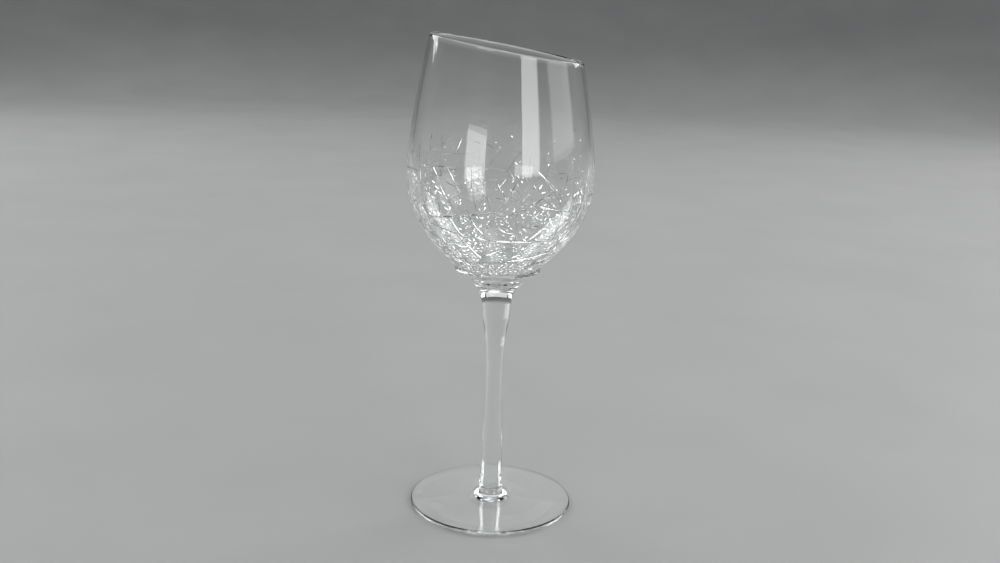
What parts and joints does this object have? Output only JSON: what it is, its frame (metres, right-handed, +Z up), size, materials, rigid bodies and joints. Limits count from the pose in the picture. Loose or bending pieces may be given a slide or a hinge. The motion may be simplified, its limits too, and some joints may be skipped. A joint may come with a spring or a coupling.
{
  "type": "cracked wine glass",
  "caption": "Clear stemmed wine glass: tulip bowl crackled round its lower half, rim that slants down to one side, drawn stem flaring into the bowl, flat round foot.",
  "frame": {"origin": "on the table under the middle of the foot", "axes": "+Z up the stem, -Y to the front as pictured, -X to the side where the rim is highest"},
  "size_m": [0.0878, 0.0878, 0.2288],
  "materials": {
    "clear_glass": "clear and fire-polished, with a crackled band round the lower bowl"
  },
  "bodies": {
    "root": {"wine_glass": "clear_glass"}
  },
  "joints": []
}
